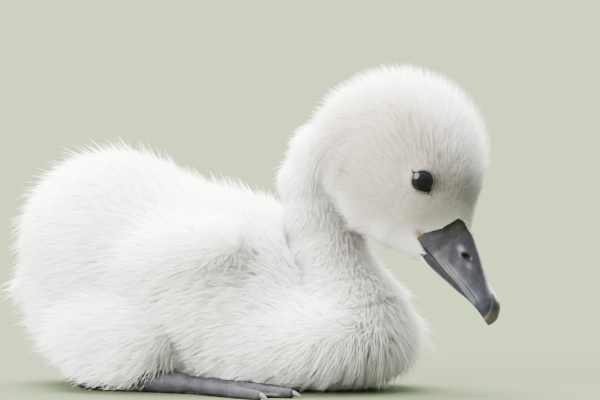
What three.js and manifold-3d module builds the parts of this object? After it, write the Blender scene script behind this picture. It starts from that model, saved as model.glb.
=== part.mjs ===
// A mute swan cygnet about a week old. It sits on its belly with its neck bent in an S, and
// reaches down and ahead to the ground with its bill.
// Millimetres. +Z is up, +X is the way that the bird faces and -Y is its right side. The origin
// is on the floor under the middle of the belly. The bird is its own mirror image in Y = 0, and
// what it has in pairs is set out for the left side alone.
// The solids reach to the tips of the down. One smooth field gives the whole feathered body,
// and thin cuts part it into head, neck, trunk, tail, wings and legs.
import * as THREE from "three";
import { mergeVertices } from "three/addons/utils/BufferGeometryUtils.js";
import Module from "manifold-3d";

const wasm = await Module();
wasm.setup();

// ---- Driving dimensions ---------------------------------------------------------------------

const GAP = 0.3; // between pieces that touch

// Feathered body. Each form has its centre or axis, its radii out to the tips of the down, and
// the pitch of its length in degrees, nose down.
const RUMP = { at: [-38.8, 0, 44.1], radii: [29.5, 37, 29.8], pitch: 0 };
const VENT = { at: [-39, 0, 25], radii: [28.5, 31, 25], pitch: 0 };
const BARREL = { at: [-8.2, 0, 30.8], radii: [48, 40, 33.2], pitch: 11 };
const BREAST = { at: [29.5, 0, 17.2], radii: [34.2, 35, 18], pitch: 0 };
const THIGH = { at: [-27, 29, 17], radii: [25, 15, 18], pitch: 0 };
const WING = { at: [-3, 28, 42.5], radii: [24, 13.5, 12], pitch: -12 };
const TAIL = { from: [-56, 0, 34], to: [-71, 0, 27], radii: [15, 7.5], flatten: 0.85 };
const TRUNK_BLEND = 14;
const VENT_BLEND = 8;
const LEG_BLEND = 5;
const WING_BLEND = 11;
const TAIL_BLEND = 8;

// Neck, as the points of its axis, each with its radius.
const NECK = [
  { at: [38.4, 0, 24], radius: 19.6 },
  { at: [32.8, 0, 40.3], radius: 13.7 },
  { at: [29.4, 0, 54], radius: 11.2 },
  { at: [27.3, 0, 65.1], radius: 9.9 },
  { at: [31, 0, 72.6], radius: 9.9 },
  { at: [41, 0, 79.8], radius: 11.2 },
];
const NECK_BLEND = 3;
const NECK_ROOT_BLEND = 9;

// Head: a ball for the skull, a chin below it, and a face that narrows to the bill.
const SKULL = { at: [57, 0, 73.4], radii: [27.8, 23, 25.9], pitch: 36.6 };
const CHIN = { from: [48.8, 0, 57.6], to: [62.5, 0, 46.4], radii: [12.2, 5], flatten: 1 };
const HEAD_BLEND = 6;
const THROAT_BLEND = 1.5;
// Behind the throat's crease the neck is broader, and blends more softly with the head.
const NAPE = { crease: [32, 60], low: -9, high: 8, spread: 0.5, blend: 6 };

// Bill, in a frame of its own: its origin is between the corners of the mouth, "along" runs to
// the tip, "up" is square to that and "across" is the world's Y.
const BILL_ORIGIN = [64.2, 0, 48];
const BILL_PITCH = 52; // below level, in degrees
const BILL_LENGTH = 34.2;
const NAIL_START = 27;
const NOSTRIL = { along: 13.5, up: 8.5, across: 5.6, radii: [1.4, 1.5, 0.8], pitch: 14 };
const MOUTH_LINE = 0.2;
const FACE_COVER = 0.8; // thickness of the down over the bill's root
const CHIN_COVER = 1.2; // and under the lower bill
const FOREHEAD_POINT = { along: 9.8, halfWidth: 6.2, low: 10.5, high: 12.4 };
const CHIN_POINT = { along: 12.5, halfWidth: 5, low: -3.2 };
const JAW_EDGE = { mouth: [0.4, 6], keel: [4.4, 2.6] }; // depth below the mouth, and how far along
const BROW = { low: 13.7, high: 15.6, reach: 12 }; // above the bill the down carries on

// Eyes.
const EYE = { at: [69, 16.7, 67.1], radius: 4.3 };

// Feet, flat on the floor beside the belly. Headings are degrees outward from straight ahead.
const HEEL = [-38, 27, 4.6];
const TOE_JOINT = [-4, 32.5, 3.4];
const SHANK_RADII = [4.4, 3.2];
const TOES = [
  { name: "inner", heading: -13, length: 30 },
  { name: "middle", heading: 8, length: 38 },
  { name: "outer", heading: 27, length: 35 },
];
const TOE_RADII = [2.3, 1.5];
const CLAW_LENGTH = 4.2;
const CLAW_RADII = [1.15, 0.35];
const HIND_TOE = { from: [-7, 31, 3.1], heading: 164, length: 8, radii: [1.5, 1.1], lift: 2.6 };
const WEB_THICKNESS = 0.9;

// Cuts that part the feathered body. A flat cut runs through two points [x, z] of the mid plane
// and keeps what is on its left, seen with +X to the right. The limbs' cuts are oval blocks
// that start at the Y given and run outward.
const NAPE_CUT = { from: [29, 67.3], to: [45.5, 46.2] };
const THROAT_CUT = { from: [46, 45.9], to: [66, 33] };
const NECK_CUT = { from: [13, 60], to: [55, 34] };
const TAIL_CUT = { from: [-64, 10], to: [-70, 60] };
const LEG_CUT = { at: [-26, 23, 14], radii: [27, 21], pitch: 0 };
const WING_CUT = { at: [-3, 27, 42.5], radii: [24.5, 13], pitch: -12 };

// Size of the facets on each piece of the feathered body.
const CELL = { head: 4, neck: 5, trunk: 7.3, tail: 5, wing: 5, leg: 6 };

// ---- Field of the feathered body: a distance below 0 inside ----------------------------------

const radians = THREE.MathUtils.degToRad;

function smoothMin(a, b, blend) {
  const share = Math.max(blend - Math.abs(a - b), 0) / blend;
  return Math.min(a, b) - (share * share * blend) / 4;
}

function ellipsoidDistance([x, y, z], { at, radii, pitch }) {
  const turn = radians(pitch);
  const [dx, dz] = [x - at[0], z - at[2]];
  const local = [
    dx * Math.cos(turn) - dz * Math.sin(turn),
    y - at[1],
    dx * Math.sin(turn) + dz * Math.cos(turn),
  ];
  const scaled = Math.hypot(...local.map((v, i) => v / radii[i]));
  const slope = Math.hypot(...local.map((v, i) => v / radii[i] ** 2));
  return scaled < 1e-6 ? -Math.min(...radii) : (scaled * (scaled - 1)) / slope;
}

// A cone with round ends. flatten scales its height, seen across.
function coneDistance([x, y, z], { from, to, radii, flatten }) {
  const axis = to.map((v, i) => v - from[i]);
  const offset = [x - from[0], y - from[1], z - from[2]];
  const lengthSquared = axis.reduce((sum, v) => sum + v * v, 0);
  const dot = axis.reduce((sum, v, i) => sum + v * offset[i], 0);
  const t = THREE.MathUtils.clamp(dot / lengthSquared, 0, 1);
  const away = offset.map((v, i) => v - t * axis[i]);
  const distance = Math.hypot(away[0], away[1], away[2] / flatten);
  return (distance - THREE.MathUtils.lerp(radii[0], radii[1], t)) * flatten;
}

// How far a place lies from the throat's crease towards the nape, from 0 to 1.
function napeShare([x, , z]) {
  const behind = 0.68 * (z - NAPE.crease[1]) - 0.73 * (x - NAPE.crease[0]);
  return THREE.MathUtils.smoothstep(behind, NAPE.low, NAPE.high);
}

function neckDistance([x, y, z]) {
  const p = [x, y / (1 + NAPE.spread * napeShare([x, y, z])), z];
  let distance = Infinity;
  for (let i = 1; i < NECK.length; i++) {
    const cone = {
      from: NECK[i - 1].at,
      to: NECK[i].at,
      radii: [NECK[i - 1].radius, NECK[i].radius],
      flatten: 1,
    };
    distance = smoothMin(distance, coneDistance(p, cone), NECK_BLEND);
  }
  return distance;
}

// ---- The bill's own frame and outlines --------------------------------------------------------

const BILL_AXIS = [Math.cos(radians(BILL_PITCH)), 0, -Math.sin(radians(BILL_PITCH))];
const BILL_UP = [Math.sin(radians(BILL_PITCH)), 0, Math.cos(radians(BILL_PITCH))];

function toBill([x, y, z]) {
  const [dx, dz] = [x - BILL_ORIGIN[0], z - BILL_ORIGIN[2]];
  return [dx * BILL_AXIS[0] + dz * BILL_AXIS[2], y, dx * BILL_UP[0] + dz * BILL_UP[2]];
}

function fromBill(along, across, up) {
  return [
    BILL_ORIGIN[0] + along * BILL_AXIS[0] + up * BILL_UP[0],
    across,
    BILL_ORIGIN[2] + along * BILL_AXIS[2] + up * BILL_UP[2],
  ];
}

// A smooth curve of height over length through [length, height] pairs.
function curveThrough(pairs) {
  const curve = new THREE.SplineCurve(pairs.map(([x, y]) => new THREE.Vector2(x, y)));
  const samples = curve.getPoints(pairs.length * 12);
  return (x) => {
    const i = samples.findIndex((s) => s.x >= x);
    if (i < 0) return samples.at(-1).y;
    if (i === 0) return samples[0].y;
    const [a, b] = [samples[i - 1], samples[i]];
    return THREE.MathUtils.lerp(a.y, b.y, (x - a.x) / (b.x - a.x));
  };
}

const ridgeHeight = curveThrough([
  [-10, 18.2], [0, 15.6], [8, 13.2], [16, 10.4], [24, 7.7], [30, 6.8], [34.2, 4.8],
]);
const halfWidth = curveThrough([
  [-10, 7.6], [0, 7], [8, 6.5], [15, 5.7], [22, 5.2], [28, 5.5], [34.2, 5.2],
]);
const mouthHeight = curveThrough([
  [-10, 0.6], [0, 0], [10, 0.3], [20, 1], [27, 1.3], [31, 1], [34.2, 0],
]);
const keelDepth = curveThrough([
  [-10, -5.6], [0, -5.4], [6, -4.6], [14, -2.8], [22, -1.1], [30, -0.4],
]);

// How far along the lower bill the down reaches, at a depth below the mouth: furthest just
// under the mouth, and less towards the keel.
function jawEdge(below) {
  const [[mouth, alongMouth], [keel, alongKeel]] = [JAW_EDGE.mouth, JAW_EDGE.keel];
  if (below < mouth) return alongMouth * Math.max(0, (below + 0.2) / (mouth + 0.2));
  const share = Math.min(1, (below - mouth) / (keel - mouth));
  return THREE.MathUtils.lerp(alongMouth, alongKeel, share);
}

// Down on the face, as an oval cone round the root of the bill, cut off along the edge where
// bare bill begins: up the side, out to a point on the forehead and to another under the chin.
function featherEdge(across, up) {
  const side = 3.4 * THREE.MathUtils.smoothstep(up, 1.5, 10.5) + jawEdge(-up);
  const { along, halfWidth: half, low, high } = FOREHEAD_POINT;
  const overForehead = Math.max(0, 1 - Math.abs(across) / half);
  const forehead = (along - side) * overForehead * THREE.MathUtils.smoothstep(up, low, high);
  const underChin = Math.max(0, 1 - (across / CHIN_POINT.halfWidth) ** 2);
  const chin = (CHIN_POINT.along - side) * underChin * THREE.MathUtils.smoothstep(-up, 1.2, -CHIN_POINT.low);
  const brow = BROW.reach * THREE.MathUtils.smoothstep(up, BROW.low, BROW.high);
  return side + forehead + chin + brow;
}

function faceDistance(p) {
  const [along, across, up] = toBill(p);
  const spread = FACE_COVER + 0.62 * Math.max(0, 7 - along);
  const top = ridgeHeight(along) + spread;
  const bottom = keelDepth(along) - CHIN_COVER - 0.3 * Math.max(0, 5 - along);
  const middle = (top + bottom) / 2;
  const tall = (top - bottom) / 2;
  const wide = halfWidth(along) + spread * 0.9;
  const round = Math.hypot((up - middle) / tall, across / wide);
  const cone = (round - 1) * Math.min(tall, wide);
  return Math.max(cone, along - featherEdge(across, up), -along - 16);
}

// ---- The feathered body as a whole -------------------------------------------------------------

function bodyDistance(p) {
  const sided = [p[0], Math.abs(p[1]), p[2]]; // both sides are alike
  let trunk = smoothMin(ellipsoidDistance(p, RUMP), ellipsoidDistance(p, BARREL), TRUNK_BLEND);
  trunk = smoothMin(trunk, ellipsoidDistance(p, BREAST), TRUNK_BLEND);
  trunk = smoothMin(trunk, ellipsoidDistance(p, VENT), VENT_BLEND);
  trunk = smoothMin(trunk, coneDistance(p, TAIL), TAIL_BLEND);
  trunk = smoothMin(trunk, ellipsoidDistance(sided, THIGH), LEG_BLEND);
  trunk = smoothMin(trunk, ellipsoidDistance(sided, WING), WING_BLEND);
  const withNeck = smoothMin(trunk, neckDistance(p), NECK_ROOT_BLEND);
  let head = smoothMin(ellipsoidDistance(p, SKULL), coneDistance(p, CHIN), HEAD_BLEND);
  head = smoothMin(head, faceDistance(p), HEAD_BLEND / 2);
  return smoothMin(withNeck, head, THROAT_BLEND + NAPE.blend * napeShare(p));
}

// ---- Turning a field into a closed mesh: one vertex in each cell that the surface crosses -------

const CORNERS = [0, 1, 2, 3, 4, 5, 6, 7].map((i) => [i & 1, (i >> 1) & 1, i >> 2]);
const CELL_EDGES = CORNERS.flatMap((a, i) =>
  CORNERS.map((b, j) => [i, j]).filter(
    ([, j]) => j > i && a.reduce((sum, v, k) => sum + Math.abs(v - CORNERS[j][k]), 0) === 1,
  ),
);

function gradient(field, p) {
  const step = 0.05;
  return [0, 1, 2].map((axis) => {
    const [low, high] = [[...p], [...p]];
    low[axis] -= step;
    high[axis] += step;
    return (field(high) - field(low)) / (2 * step);
  });
}

// Moves a point onto the surface, and no further than limit.
function settle(field, start, limit) {
  let p = start;
  for (let round = 0; round < 3; round++) {
    const slope = gradient(field, p);
    const steep = slope.reduce((sum, v) => sum + v * v, 0) || 1;
    const value = field(p);
    p = p.map((v, i) => v - (value * slope[i]) / steep);
  }
  const moved = Math.hypot(...p.map((v, i) => v - start[i]));
  return moved > limit ? start : p;
}

function meshOfField(field, low, high, cell) {
  const count = low.map((v, i) => Math.ceil((high[i] - v) / cell) + 1);
  const index = (i, j, k) => (i * count[1] + j) * count[2] + k;
  const values = new Float64Array(count[0] * count[1] * count[2]);
  const corner = (i, j, k) => [low[0] + i * cell, low[1] + j * cell, low[2] + k * cell];
  for (let i = 0; i < count[0]; i++)
    for (let j = 0; j < count[1]; j++)
      for (let k = 0; k < count[2]; k++) {
        const rim = [i, j, k].some((v, axis) => v === 0 || v === count[axis] - 1);
        values[index(i, j, k)] = rim ? cell : field(corner(i, j, k));
      }

  const vertexOf = new Map();
  const positions = [];
  for (let i = 0; i < count[0] - 1; i++)
    for (let j = 0; j < count[1] - 1; j++)
      for (let k = 0; k < count[2] - 1; k++) {
        const at = CORNERS.map(([a, b, c]) => values[index(i + a, j + b, k + c)]);
        const crossed = CELL_EDGES.filter(([a, b]) => at[a] < 0 !== at[b] < 0);
        if (!crossed.length) continue;
        const sum = [0, 0, 0];
        for (const [a, b] of crossed) {
          const t = at[a] / (at[a] - at[b]);
          for (let axis = 0; axis < 3; axis++)
            sum[axis] += THREE.MathUtils.lerp(CORNERS[a][axis], CORNERS[b][axis], t) / crossed.length;
        }
        const middle = corner(i + sum[0], j + sum[1], k + sum[2]);
        vertexOf.set(index(i, j, k), positions.length / 3);
        positions.push(...settle(field, middle, cell * 0.7));
      }

  const faces = [];
  const quad = (a, b, c, d, flip) =>
    faces.push(...(flip ? [a, c, b, a, d, c] : [a, b, c, a, c, d]));
  const steps = [[1, 0, 0], [0, 1, 0], [0, 0, 1]];
  for (let i = 0; i < count[0] - 1; i++)
    for (let j = 0; j < count[1] - 1; j++)
      for (let k = 0; k < count[2] - 1; k++) {
        const here = [i, j, k];
        const inside = values[index(i, j, k)] < 0;
        steps.forEach((step, axis) => {
          const [u, v] = [(axis + 1) % 3, (axis + 2) % 3];
          if (here[u] === 0 || here[v] === 0) return;
          if (values[index(i + step[0], j + step[1], k + step[2])] < 0 === inside) return;
          const around = [[1, 1], [0, 1], [0, 0], [1, 0]].map(([a, b]) =>
            vertexOf.get(index(...here.map((n, m) => n - a * steps[u][m] - b * steps[v][m]))),
          );
          quad(...around, !inside);
        });
      }
  return new THREE.BufferGeometry()
    .setAttribute("position", new THREE.Float32BufferAttribute(positions, 3))
    .setIndex(faces);
}

// ---- Solids --------------------------------------------------------------------------------------

function solidOf(geometry) {
  const plain = geometry.clone();
  for (const name of Object.keys(plain.attributes))
    if (name !== "position") plain.deleteAttribute(name);
  const merged = mergeVertices(plain, 1e-4);
  const solid = new wasm.Manifold(
    new wasm.Mesh({
      numProp: 3,
      vertProperties: new Float32Array(merged.attributes.position.array),
      triVerts: new Uint32Array(merged.index.array),
    }),
  );
  return solid;
}

function geometryOf(solid) {
  const mesh = solid.getMesh();
  return new THREE.BufferGeometry()
    .setAttribute("position", new THREE.BufferAttribute(mesh.vertProperties, 3))
    .setIndex(new THREE.BufferAttribute(mesh.triVerts, 1));
}

// An ellipsoid, grown by a margin on every side.
function ellipsoidSolid({ at, radii, pitch = 0 }, grow, segments = 16) {
  const geometry = new THREE.SphereGeometry(1, segments, segments / 2);
  geometry.scale(...radii.map((r) => r + grow));
  geometry.rotateY(radians(pitch));
  geometry.translate(...at);
  return solidOf(geometry);
}

// The half of space on the left of a flat cut, with its face moved out by grow.
function halfSpace({ from, to }, grow) {
  const size = 400;
  const direction = new THREE.Vector2(to[0] - from[0], to[1] - from[1]).normalize();
  const left = new THREE.Vector2(-direction.y, direction.x);
  const geometry = new THREE.BoxGeometry(size, size, size);
  geometry.rotateY(-Math.atan2(left.y, left.x));
  const reach = size / 2 - grow;
  geometry.translate(from[0] + left.x * reach, 0, from[1] + left.y * reach);
  return solidOf(geometry);
}

// A block with an oval outline in X and Z that runs outward from the Y given.
function ovalBlock({ at, radii, pitch }, grow) {
  const reach = 60;
  const geometry = new THREE.CylinderGeometry(1, 1, reach, 20);
  geometry.scale(radii[0] + grow, 1, radii[1] + grow);
  geometry.rotateY(radians(pitch));
  geometry.translate(at[0], at[1] - grow + reach / 2, at[2]);
  return solidOf(geometry);
}

function aboveFloor() {
  const size = 400;
  return solidOf(new THREE.BoxGeometry(size, size, size).translate(0, 0, size / 2));
}

// A closed tube through rings of points, each ring a list of the same length.
function tubeOfRings(rings) {
  const around = rings[0].length;
  const positions = rings.flat(2);
  const faces = [];
  for (let i = 1; i < rings.length; i++)
    for (let j = 0; j < around; j++) {
      const next = (j + 1) % around;
      const [a, b] = [(i - 1) * around + j, (i - 1) * around + next];
      const [c, d] = [i * around + next, i * around + j];
      faces.push(a, b, c, a, c, d);
    }
  for (const [start, flip] of [[0, true], [(rings.length - 1) * around, false]])
    for (let j = 1; j < around - 1; j++)
      faces.push(start, start + (flip ? j + 1 : j), start + (flip ? j : j + 1));
  const geometry = new THREE.BufferGeometry()
    .setAttribute("position", new THREE.Float32BufferAttribute(positions, 3))
    .setIndex(faces);
  const solid = solidOf(geometry);
  return solid.volume() < 0 ? solidOf(flipped(geometry)) : solid;
}

function flipped(geometry) {
  const turned = geometry.clone();
  const { array } = turned.index;
  for (let i = 0; i < array.length; i += 3) [array[i + 1], array[i + 2]] = [array[i + 2], array[i + 1]];
  return turned;
}

const otherSide = (solid) => solidOf(flipped(geometryOf(solid).scale(1, -1, 1)));
const bothSides = (solid) => solid.add(otherSide(solid));

// ---- Bill ------------------------------------------------------------------------------------------

// How wide and high the bill still is near its rounded tip, as a share.
function tipShare(along, start, end) {
  const t = THREE.MathUtils.clamp((along - start) / (end - start), 0, 1);
  return Math.sqrt(Math.max(0, 1 - t * t));
}

const BILL_STATIONS = [-4, 0, 3, 6, 10, 14, 18, 22, 25, 27.5, 29.5, 31.2, 32.6, 33.6, 34.1];

function upperBill(grow) {
  const rings = BILL_STATIONS.map((along) => {
    const round = tipShare(along, NAIL_START - 1, BILL_LENGTH);
    const wide = halfWidth(along) * Math.max(round, 0.12) + grow;
    const low = mouthHeight(along) + MOUTH_LINE - grow;
    const nail = tipShare(along, NAIL_START + 3, BILL_LENGTH + 0.3);
    const top = low + (ridgeHeight(along) - mouthHeight(along)) * (0.25 + 0.75 * nail) + grow;
    const ring = [];
    const steps = 14;
    for (let i = 0; i <= steps; i++) {
      const angle = (Math.PI * i) / steps;
      const narrow = 1 - 0.2 * Math.sin(angle) * THREE.MathUtils.smoothstep(26 - along, 0, 16);
      const across = wide * Math.cos(angle) * narrow;
      ring.push(fromBill(along, across, low + (top - low) * Math.sin(angle) ** 0.9));
    }
    return ring;
  });
  return tubeOfRings(rings);
}

function lowerBill(grow) {
  const stations = [-4, 0, 4, 9, 14, 19, 24, 28];
  const rings = stations.map((along) => {
    const wide = (halfWidth(along) - 0.75) * Math.max(tipShare(along, 20, 31), 0.3) + grow;
    const top = mouthHeight(along) + MOUTH_LINE - GAP + grow;
    const deep = top - keelDepth(along) + 2 * grow;
    const ring = [];
    const steps = 10;
    for (let i = 0; i <= steps; i++) {
      const angle = -(Math.PI * i) / steps;
      ring.push(fromBill(along, wide * Math.cos(angle), top + deep * Math.sin(angle)));
    }
    return ring;
  });
  return tubeOfRings(rings);
}

function nostril() {
  const { along, across, up, radii, pitch } = NOSTRIL;
  return ellipsoidSolid({ at: fromBill(along, across, up), radii, pitch: BILL_PITCH - pitch }, 0, 12);
}

// ---- Feet ------------------------------------------------------------------------------------------

// A round limb from one point to another, with round ends.
function limb(from, to, radii, grow) {
  const [start, end] = [new THREE.Vector3(...from), new THREE.Vector3(...to)];
  const length = start.distanceTo(end);
  const profile = [];
  const steps = 2;
  for (let i = 0; i <= steps; i++) {
    const angle = (Math.PI / 2) * (i / steps);
    profile.push([(radii[0] + grow) * Math.sin(angle), -(radii[0] + grow) * Math.cos(angle)]);
  }
  for (let i = 0; i <= steps; i++) {
    const angle = (Math.PI / 2) * (i / steps);
    profile.push([(radii[1] + grow) * Math.cos(angle), length + (radii[1] + grow) * Math.sin(angle)]);
  }
  const geometry = new THREE.LatheGeometry(profile.map(([x, y]) => new THREE.Vector2(Math.max(x, 0), y)), 8);
  const along = end.clone().sub(start).normalize();
  geometry.applyQuaternion(new THREE.Quaternion().setFromUnitVectors(new THREE.Vector3(0, 1, 0), along));
  geometry.translate(...from);
  return solidOf(geometry);
}

function ahead(from, heading, length, height) {
  const turn = radians(heading);
  return [from[0] + length * Math.cos(turn), from[1] + length * Math.sin(turn), height];
}

const toeTip = (toe) => ahead(TOE_JOINT, toe.heading, toe.length, TOE_RADII[1]);

// The web hangs between the toes, with its front edge drawn back in two shallow bays.
function web(grow) {
  const tips = TOES.map(toeTip);
  const outline = new THREE.Shape();
  outline.moveTo(TOE_JOINT[0], TOE_JOINT[1]);
  outline.lineTo(tips[0][0], tips[0][1]);
  for (let i = 1; i < tips.length; i++) {
    const bay = tips[i].map((v, axis) => (v + tips[i - 1][axis]) / 2);
    const drawn = [0, 1].map((axis) => THREE.MathUtils.lerp(bay[axis], TOE_JOINT[axis], 0.16));
    outline.quadraticCurveTo(drawn[0], drawn[1], tips[i][0], tips[i][1]);
  }
  outline.closePath();
  const geometry = new THREE.ExtrudeGeometry(outline, {
    depth: WEB_THICKNESS + grow,
    bevelEnabled: grow > 0,
    bevelSize: grow,
    bevelThickness: grow,
    bevelSegments: 1,
    curveSegments: 4,
  });
  return solidOf(geometry);
}

function foot(grow) {
  let solid = limb(HEEL, TOE_JOINT, SHANK_RADII, grow).add(web(grow));
  for (const toe of TOES) {
    const tip = toeTip(toe);
    const claw = ahead(tip, toe.heading, CLAW_LENGTH, 0.7);
    solid = solid.add(limb(TOE_JOINT, tip, TOE_RADII, grow)).add(limb(tip, claw, CLAW_RADII, grow));
  }
  const hind = ahead(HIND_TOE.from, HIND_TOE.heading, HIND_TOE.length, HIND_TOE.lift);
  return solid.add(limb(HIND_TOE.from, hind, HIND_TOE.radii, grow)).intersect(aboveFloor());
}

// ---- Parting the body --------------------------------------------------------------------------------

const eye = (grow) => ellipsoidSolid({ at: EYE.at, radii: [EYE.radius, EYE.radius, EYE.radius] }, grow);

const bills = upperBill(GAP).add(lowerBill(GAP));
const feet = bothSides(foot(GAP));
const eyes = bothSides(eye(GAP));

// The space that belongs to each part of the body, with its borders moved out by grow.
const SPACES = {
  head: (grow) => halfSpace(NAPE_CUT, grow).intersect(halfSpace(THROAT_CUT, grow)),
  neck: (grow) => halfSpace(NECK_CUT, grow),
  tail: (grow) => halfSpace(TAIL_CUT, grow),
  wings: (grow) => bothSides(ovalBlock(WING_CUT, grow)),
  legs: (grow) => bothSides(ovalBlock(LEG_CUT, grow)),
};

// The part of the body in a box and in its own space, without the spaces of the parts named.
function bodyPart(own, without, low, high, cell) {
  let solid = solidOf(meshOfField(bodyDistance, low, high, cell)).intersect(aboveFloor());
  if (own) solid = solid.intersect(SPACES[own](-GAP / 2));
  for (const name of without) solid = solid.subtract(SPACES[name](GAP / 2));
  return solid;
}

const head = bodyPart("head", [], [18, -32, 26], [96, 32, 110], CELL.head).subtract(bills).subtract(eyes);
const neck = bodyPart("neck", ["head"], [-12, -52, 12], [78, 52, 112], CELL.neck);
const trunkWithout = ["head", "neck", "tail", "wings", "legs"];
const trunk = bodyPart(null, trunkWithout, [-88, -56, -12], [84, 56, 90], CELL.trunk).subtract(feet);
const tail = bodyPart("tail", [], [-96, -40, -10], [-50, 40, 80], CELL.tail);
const wing = bodyPart("wings", ["legs"], [-34, 20, 20], [42, 58, 72], CELL.wing);
const leg = bodyPart("legs", [], [-66, 8, -10], [16, 60, 46], CELL.leg).subtract(feet);

// ---- The cygnet -----------------------------------------------------------------------------------------

const materials = {
  down: new THREE.MeshStandardMaterial({ color: 0xf1eee6, roughness: 0.95, metalness: 0 }),
  bill: new THREE.MeshStandardMaterial({ color: 0x4d4c52, roughness: 0.42, metalness: 0 }),
  eye: new THREE.MeshStandardMaterial({ color: 0x12100e, roughness: 0.06, metalness: 0 }),
  foot: new THREE.MeshStandardMaterial({ color: 0x55565a, roughness: 0.6, metalness: 0 }),
};

const cygnet = new THREE.Group();

function addPiece(name, solid, material) {
  const geometry = geometryOf(solid);
  geometry.computeVertexNormals();
  const mesh = new THREE.Mesh(geometry, materials[material]);
  mesh.name = name;
  cygnet.add(mesh);
}

addPiece("head", head, "down");
addPiece("neck", neck, "down");
addPiece("trunk", trunk, "down");
addPiece("tail", tail, "down");
addPiece("bill_upper", upperBill(0).subtract(bothSides(nostril())), "bill");
addPiece("bill_lower", lowerBill(0), "bill");
for (const [name, solid, material] of [
  ["eye", eye(0), "eye"],
  ["wing", wing, "down"],
  ["leg", leg, "down"],
  ["foot", foot(0), "foot"],
]) {
  addPiece(name + "_left", solid, material);
  addPiece(name + "_right", otherSide(solid), material);
}

export default cygnet;
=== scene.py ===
import math

import bpy
import numpy as np
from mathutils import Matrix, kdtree


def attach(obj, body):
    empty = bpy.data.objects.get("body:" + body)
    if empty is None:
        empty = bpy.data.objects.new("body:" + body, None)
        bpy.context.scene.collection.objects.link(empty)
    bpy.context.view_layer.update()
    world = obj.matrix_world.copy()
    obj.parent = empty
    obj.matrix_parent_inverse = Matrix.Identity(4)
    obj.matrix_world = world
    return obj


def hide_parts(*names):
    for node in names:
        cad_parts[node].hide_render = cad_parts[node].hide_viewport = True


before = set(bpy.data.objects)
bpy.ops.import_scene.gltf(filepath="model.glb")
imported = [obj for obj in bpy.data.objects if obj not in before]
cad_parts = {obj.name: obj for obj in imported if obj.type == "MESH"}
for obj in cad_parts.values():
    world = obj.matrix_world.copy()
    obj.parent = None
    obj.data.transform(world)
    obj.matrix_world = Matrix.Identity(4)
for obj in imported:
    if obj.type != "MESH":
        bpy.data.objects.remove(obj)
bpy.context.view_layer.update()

# A mute swan cygnet about a week old, in the frame of its solids: +X is the way that it faces,
# -Y its right side, +Z up. Everything below is in millimetres until make_mesh turns it into
# metres. One field gives the body out to the tips of the down, as in the solids. The skin lies
# inside it by the depth of the coat, and the down stands from the skin to the field's surface.

SEED = 7
METRES = 0.001

# ---- The forms of the body: centre or axis, radii, and pitch of the length, nose down ---------

RUMP = dict(at=(-38.8, 0, 44.1), radii=(29.5, 37, 29.8), pitch=0)
VENT = dict(at=(-39, 0, 25), radii=(28.5, 31, 25), pitch=0)
BARREL = dict(at=(-8.2, 0, 30.8), radii=(48, 40, 33.2), pitch=11)
BREAST = dict(at=(29.5, 0, 17.2), radii=(34.2, 35, 18), pitch=0)
THIGH = dict(at=(-27, 29, 17), radii=(25, 15, 18), pitch=0)
WING = dict(at=(-3, 28, 42.5), radii=(24, 13.5, 12), pitch=-12)
TAIL = dict(start=(-56, 0, 34), end=(-71, 0, 27), radii=(15, 7.5), flatten=0.85)
TRUNK_BLEND = 14
VENT_BLEND = 8
LEG_BLEND = 5
WING_BLEND = 11
TAIL_BLEND = 8

NECK = (
    ((38.4, 0, 24), 19.6),
    ((32.8, 0, 40.3), 13.7),
    ((29.4, 0, 54), 11.2),
    ((27.3, 0, 65.1), 9.9),
    ((31, 0, 72.6), 9.9),
    ((41, 0, 79.8), 11.2),
)
NECK_BLEND = 3
NECK_ROOT_BLEND = 9

SKULL = dict(at=(57, 0, 73.4), radii=(27.8, 23, 25.9), pitch=36.6)
CHIN = dict(start=(48.8, 0, 57.6), end=(62.5, 0, 46.4), radii=(12.2, 5), flatten=1)
HEAD_BLEND = 6
THROAT_BLEND = 1.5
# Behind the throat's crease the neck is broader, and blends more softly with the head.
NAPE = dict(crease=(32, 60), low=-9, high=8, spread=0.5, blend=6)

BILL_ORIGIN = (64.2, 0, 48)
BILL_PITCH = math.radians(52)
BILL_LENGTH = 34.2
FACE_COVER = 0.8
CHIN_COVER = 1.2
JAW_EDGE = dict(below_mouth=(-0.8, 0.7, 4.4), along=(0, 5.6, 2.4))  # where the down ends on the lower bill
SKIN_REACH = 2.2  # how far the skin runs on along the bill, under the horn
FOREHEAD_POINT = dict(along=9.8, half_width=6.2, low=10.5, high=12.4, taper=1.7)
CHIN_POINT = dict(along=12.5, half_width=5, low=-3.2)

EYE_CENTRE = np.array((69, 16.7, 67.1))
EYE_RADIUS = 4.3
EYE_AXIS = np.array((0.42, 0.883, -0.206))
EYE_OPENING = 3.2
FORE_CANTHUS = dict(turn=0.17, reach=5.1, width=1.9)
REAR_CANTHUS = dict(turn=math.pi - 0.15, reach=4.2, width=1.1)

# ---- Small mathematics ------------------------------------------------------------------------


def smoothstep(x, low, high):
    t = np.clip((x - low) / (high - low), 0, 1)
    return t * t * (3 - 2 * t)


def smooth_min(a, b, blend):
    share = np.maximum(blend - np.abs(a - b), 0) / blend
    return np.minimum(a, b) - share * share * blend / 4


def unit(v):
    return v / np.maximum(np.linalg.norm(v, axis=-1, keepdims=True), 1e-9)


def dot(a, b):
    return np.sum(a * b, axis=-1, keepdims=True)


def mirrored(p):
    """The points with their left side put over their right, for what comes in pairs."""
    return np.stack((p[..., 0], np.abs(p[..., 1]), p[..., 2]), axis=-1)


# ---- The field of the feathered body: a distance in millimetres, below 0 inside -----------------


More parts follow.
